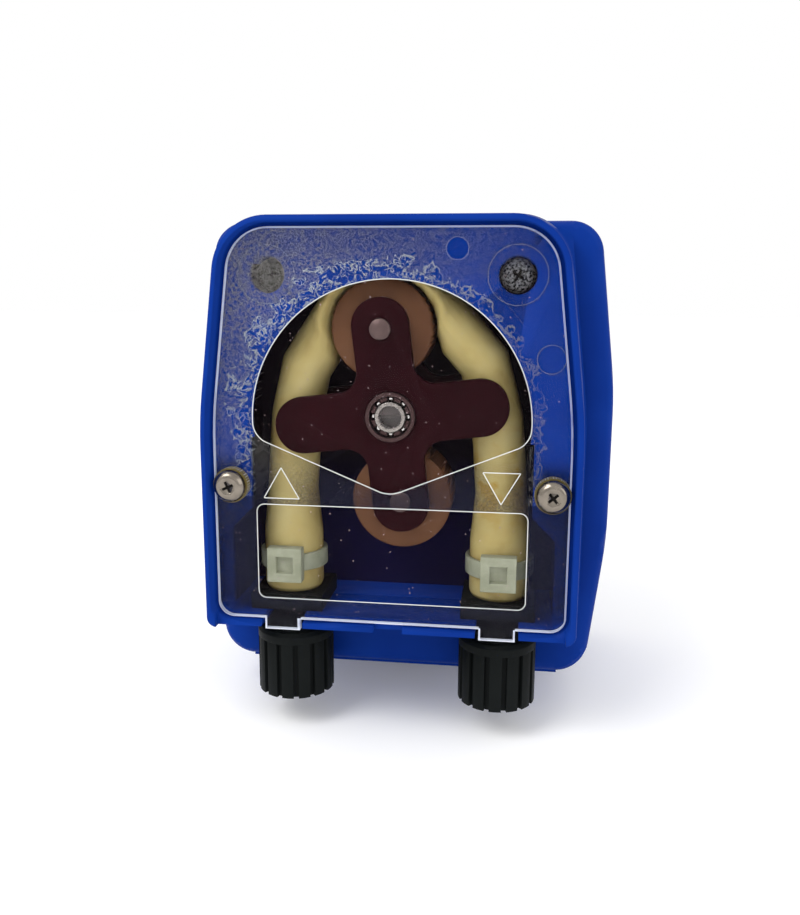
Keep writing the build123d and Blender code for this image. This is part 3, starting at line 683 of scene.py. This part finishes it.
def bisected(obj, place, normal):
    """Cut away the side of a plane that its normal points to."""
    only(obj)
    bpy.ops.object.mode_set(mode="EDIT")
    bpy.ops.mesh.select_all(action="SELECT")
    bpy.ops.mesh.bisect(plane_co=place, plane_no=normal, use_fill=True, clear_outer=True)
    bpy.ops.object.mode_set(mode="OBJECT")


def flat_arch():
    """Round arch over a shallow V, with rounded corners."""
    obj = flat_circle(0, ARCH_Z, ARCH_R, 180)
    below = ARCH_Z - (AXIS_Z - V_DROP)
    reach = sqrt(ARCH_R ** 2 - (cos(V_SLOPE) * below) ** 2)
    corner_x = sin(V_SLOPE) * cos(V_SLOPE) * below + cos(V_SLOPE) * reach
    corner_z = AXIS_Z - V_DROP + corner_x * sin(V_SLOPE) / cos(V_SLOPE)
    for side in (-1, 1):
        only(obj)
        bpy.ops.object.mode_set(mode="EDIT")
        bpy.ops.mesh.select_all(action="SELECT")
        bpy.ops.mesh.bisect(plane_co=(0, SHEET_BACK, AXIS_Z - V_DROP), clear_outer=True,
                            plane_no=(side * sin(V_SLOPE), 0, -cos(V_SLOPE)))
        bpy.ops.object.mode_set(mode="OBJECT")

    def from_corner(point):
        return hypot(abs(point.x) - corner_x, point.z - corner_z)

    pick_points(obj, lambda p: CORNER_TOUCH < from_corner(p) < CORNER_CUT)
    bpy.ops.mesh.dissolve_verts()
    bpy.ops.object.mode_set(mode="OBJECT")
    round_points(obj, CORNER_CUT * 0.8, lambda p: from_corner(p) < CORNER_TOUCH)
    return round_points(obj, V_ROUND, lambda p: abs(p.x) < 0.0005 and p.z < AXIS_Z)


def flat_triangle(x, z, up):
    """Flow triangle, pointing up or down."""
    obj = flat_circle(x, z, TRIANGLE_R, 3, 0.0 if up else pi)
    return round_points(obj, TRIANGLE_TIP, lambda p: True)


def clear_line(face, name, material, width=LINE_WIDE):
    """Fine polished ridge along the border of a flat face."""
    line = face.copy()
    line.data = face.data.copy()
    line.name = name
    bpy.context.scene.collection.objects.link(line)
    only(line)
    bpy.ops.object.mode_set(mode="EDIT")
    bpy.ops.mesh.select_mode(type="FACE")
    bpy.ops.mesh.select_all(action="SELECT")
    bpy.ops.mesh.inset(thickness=width, depth=0)
    bpy.ops.mesh.delete(type="FACE")
    bpy.ops.mesh.select_all(action="SELECT")
    bpy.ops.mesh.extrude_region_move(TRANSFORM_OT_translate={"value": (0, LINE_DEEP, 0)})
    bpy.ops.mesh.select_all(action="SELECT")
    bpy.ops.transform.translate(value=(0, -LINE_SHIFT, 0))
    bpy.ops.mesh.normals_make_consistent(inside=False)
    bpy.ops.object.mode_set(mode="OBJECT")
    line.data.materials.append(material)
    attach(line, "cover")


def thicken(obj, start, depth):
    """Make a flat face a block that runs back from a start."""
    only(obj)
    bpy.ops.object.mode_set(mode="EDIT")
    bpy.ops.mesh.select_all(action="SELECT")
    bpy.ops.transform.translate(value=(0, start, 0))
    bpy.ops.mesh.extrude_region_move(TRANSFORM_OT_translate={"value": (0, depth, 0)})
    bpy.ops.mesh.select_all(action="SELECT")
    bpy.ops.mesh.normals_make_consistent(inside=False)
    bpy.ops.object.mode_set(mode="OBJECT")
    return obj


def frosted_grain():
    """Spark grain haze with painted light and painted shade: paler to the top left as painted light, a dark
    navy painted shade over the low sides, clear where grease wets it.
    """
    material, tree, shader = empty_shader("cover_frosting")
    x, _, z = separate(tree)
    grain = spread(tree, noise(tree, 2300.0, 2.0).outputs["Fac"], 0.38, 0.62, 0.2, 1.8)
    height = maths(tree, "SUBTRACT", z, AXIS_Z)
    # painted light: the haze grows paler to the top left, where the light comes from
    toward_painted_light = maths(tree, "ADD", maths(tree, "MULTIPLY", x, -7.0), maths(tree, "MULTIPLY", height, 8.0))
    pale = maths(tree, "MULTIPLY", spread(tree, toward_painted_light, 0.05, 0.61, 0.008, 0.19), grain)
    # painted shade: a dark navy haze over the low sides of the recess, weaker below the box
    painted_shade_low_side = spread(tree, height, -0.028, -0.010, 0.42, 0.0)
    painted_shade_band = spread(tree, height, -0.054, -0.050, 0.25, 1.0)
    dark = maths(tree, "MULTIPLY", painted_shade_low_side, painted_shade_band)
    dark = maths(tree, "MULTIPLY", dark, spread(tree, grain, 0.25, 1.75, 0.7, 1.15))
    high = maths(tree, "MAXIMUM", maths(tree, "SUBTRACT", z, ARCH_Z), 0.0)
    square = maths(tree, "ADD", maths(tree, "MULTIPLY", x, x), maths(tree, "MULTIPLY", high, high))
    radius = maths(tree, "SQRT", square)
    band = spread(tree, x, -0.02, 0.03, 0.0050, 0.0026)
    ragged = spread(tree, noise(tree, 300.0, 5.0, 0.8).outputs["Fac"], 0.35, 0.65, 0.3, 1.5)
    edge_at = maths(tree, "ADD", maths(tree, "MULTIPLY", band, ragged), ARCH_R)
    past = maths(tree, "SUBTRACT", radius, edge_at)
    upper = maths(tree, "GREATER_THAN", height, GREASE_LOW)
    beyond = maths(tree, "GREATER_THAN", radius, ARCH_R - 0.0005)
    wet = maths(tree, "MULTIPLY", maths(tree, "LESS_THAN", past, 0.0), upper)
    wet = maths(tree, "MULTIPLY", wet, beyond)
    rim = maths(tree, "LESS_THAN", maths(tree, "ABSOLUTE", past), 0.0003)
    lace = noise(tree, 420.0, 4.0, 1.5)
    from_line = maths(tree, "ABSOLUTE", maths(tree, "SUBTRACT", lace.outputs["Fac"], 0.52))
    strand = maths(tree, "LESS_THAN", from_line, 0.022)
    strand = maths(tree, "MULTIPLY", strand, wet)
    white = maths(tree, "MULTIPLY", maths(tree, "MAXIMUM", rim, strand), upper)
    # painted light: the white rim and grease lines are brighter to the top left
    white = maths(tree, "MULTIPLY", white, spread(tree, toward_painted_light, -0.1, 0.4, 0.12, 0.42))
    dry = maths(tree, "SUBTRACT", 1.0, maths(tree, "MULTIPLY", wet, 0.92))
    pale = maths(tree, "MAXIMUM", maths(tree, "MULTIPLY", pale, dry), white)
    dark = maths(tree, "MULTIPLY", dark, dry)
    total = maths(tree, "ADD", pale, dark, True)
    tree.links.new(total, shader.inputs["Alpha"])
    share = maths(tree, "DIVIDE", dark, maths(tree, "ADD", total, 0.001), True)
    colour = mixed(tree, white, (0.27, 0.26, 0.25, 1.0), (0.55, 0.68, 0.80, 1.0))
    # the dark navy mixed in here is painted shade
    haze_with_painted_shade = mixed(tree, share, colour, (0.010, 0.012, 0.030, 1.0))
    tree.links.new(haze_with_painted_shade, shader.inputs["Base Color"])
    shader.inputs["Roughness"].default_value = 0.6
    shader.inputs["Specular IOR Level"].default_value = 0.05
    return material


def sheet_outline():
    """Flat face with the sheet's border and screw holes, cut out of the middle of the sheet."""
    obj = merged_copy("front_cover", "cover_frosting")
    bisected(obj, (0, SHEET_BACK - MID_SHEET, 0), (0, 1, 0))
    bpy.ops.object.mode_set(mode="EDIT")
    bpy.ops.mesh.select_mode(type="FACE")
    bpy.ops.mesh.select_all(action="DESELECT")
    bpy.ops.object.mode_set(mode="OBJECT")
    for face in obj.data.polygons:
        face.select = abs(face.center.y - (SHEET_BACK - MID_SHEET)) > 0.00001
    bpy.ops.object.mode_set(mode="EDIT")
    bpy.ops.mesh.delete(type="FACE")
    bpy.ops.object.mode_set(mode="OBJECT")
    return obj


frosting = thicken(sheet_outline(), MID_SHEET - FILM - FILM_GAP, FILM)

# painted highlight: the window ridges glow faintly
ridge_painted_glow = clear_plastic("window_ridge_painted_glow", (0.80, 0.82, 0.80, 1.0), 0.62, 0.3, 0.02)
faint_ridge = clear_plastic("faint_ridge", (0.30, 0.36, 0.55, 1.0), 0.16, 0.3)
arch = flat_arch()
box = round_points(flat_box(BOX_LEFT, BOX_RIGHT, BOX_BOTTOM, BOX_TOP), BOX_CORNER, lambda p: True)
windows = [("arch_ridge", arch), ("box_ridge", box),
           ("left_triangle_ridge", flat_triangle(-0.0290, AXIS_Z - 0.0196, True)),
           ("right_triangle_ridge", flat_triangle(0.0292, AXIS_Z - 0.0164, False)),
           ("disc_ridge", flat_circle(0.0169, AXIS_Z + 0.0426, 0.0029))]
for name, window in windows:
    clear_line(window, name, faint_ridge if name == "disc_ridge" else ridge_painted_glow)
    boolean(frosting, thicken(window, -CUT_DEPTH / 2, CUT_DEPTH))
marks = [("left_well_ring", -0.0319, 0.0362, 0.0075), ("right_well_ring", 0.0319, 0.0362, 0.0075),
         ("right_boss_ring", 0.0408, 0.0156, 0.0037)]
for name, x, z, radius in marks:
    mark = flat_circle(x, AXIS_Z + z, radius)
    clear_line(mark, name, faint_ridge, RING_WIDE)
    bpy.data.objects.remove(mark)
frosting.data.materials.append(frosted_grain())
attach(frosting, "cover")


# ============================================================================================
# Chamber lip: the head casing's front lip follows the cover's arch. This crescent fills the lip
# down to the arch window at the top and the sides.
# ============================================================================================
LIP_ROUND_R = 0.0376
LIP_DEEP = 0.0010
LIP_GAP = 0.00025            # the lip lies this far behind the sheet
LIP_LOW = AXIS_Z - 0.006

lip = thicken(flat_circle(0, AXIS_Z, LIP_ROUND_R, 180), LIP_GAP, LIP_DEEP)
boolean(lip, thicken(flat_circle(0, ARCH_Z, ARCH_R, 180), -0.001, 0.004))
bisected(lip, (0, 0, LIP_LOW), (0, 0, -1))
lip.name = "chamber_lip"
lip.data.materials.append(casing_blue)
smooth(lip, 30.0)
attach(lip, "pump")


# ============================================================================================
# Studio: pale floor, soft light, and the camera close in front, a little to the right.
# ============================================================================================
FOCAL_PIXELS = 874.4
IMAGE_LONG_SIDE = 915

bpy.ops.object.select_all(action="DESELECT")
bpy.ops.mesh.primitive_plane_add(size=8.0, location=(0, 0, cad_low.z - 0.0005))
floor = settle(bpy.context.object)
floor.name = "studio_floor"
floor_white, floor_tree, floor_shader = empty_shader("floor_white")
floor_shader.inputs["Base Color"].default_value = (0.93, 0.93, 0.93, 1.0)
floor_shader.inputs["Roughness"].default_value = 0.8
floor_shader.inputs["Specular IOR Level"].default_value = 0.1
floor_shader.inputs["Emission Color"].default_value = (1.0, 1.0, 1.0, 1.0)
floor_shader.inputs["Emission Strength"].default_value = 0.12
floor.data.materials.append(floor_white)
floor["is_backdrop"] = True


def soft_light(name, place, target, size, power):
    """Square area light aimed at a point."""
    data = bpy.data.lights.new(name, "AREA")
    data.size = size
    data.energy = power
    lamp = bpy.data.objects.new(name, data)
    bpy.context.scene.collection.objects.link(lamp)
    lamp.location = place
    lamp.rotation_euler = (Vector(target) - Vector(place)).to_track_quat("-Z", "Y").to_euler()


middle = (0.0, -0.08, 0.0)
soft_light("key", (-0.45, -0.60, 0.75), middle, 0.5, 5.0)
soft_light("fill", (0.7, -0.5, 0.3), middle, 0.5, 1.0)

world = bpy.data.worlds.new("studio")
bpy.context.scene.world = world
world.use_nodes = True
world.node_tree.nodes["Background"].inputs["Color"].default_value = (1.0, 1.0, 1.0, 1.0)
world.node_tree.nodes["Background"].inputs["Strength"].default_value = 1.0
bpy.context.scene.view_settings.view_transform = "Standard"

camera_data = bpy.data.cameras.new("camera")
camera_data.sensor_width = 36.0
camera_data.lens = 36.0 * FOCAL_PIXELS / IMAGE_LONG_SIDE
camera_data.clip_start = 0.01
camera = bpy.data.objects.new("camera", camera_data)
bpy.context.scene.collection.objects.link(camera)
camera.location = (0.0322, -0.3189, 0.0471)
camera.rotation_euler = (pi / 2 - 0.19, -0.005, 0.133)
bpy.context.scene.camera = camera

low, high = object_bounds()
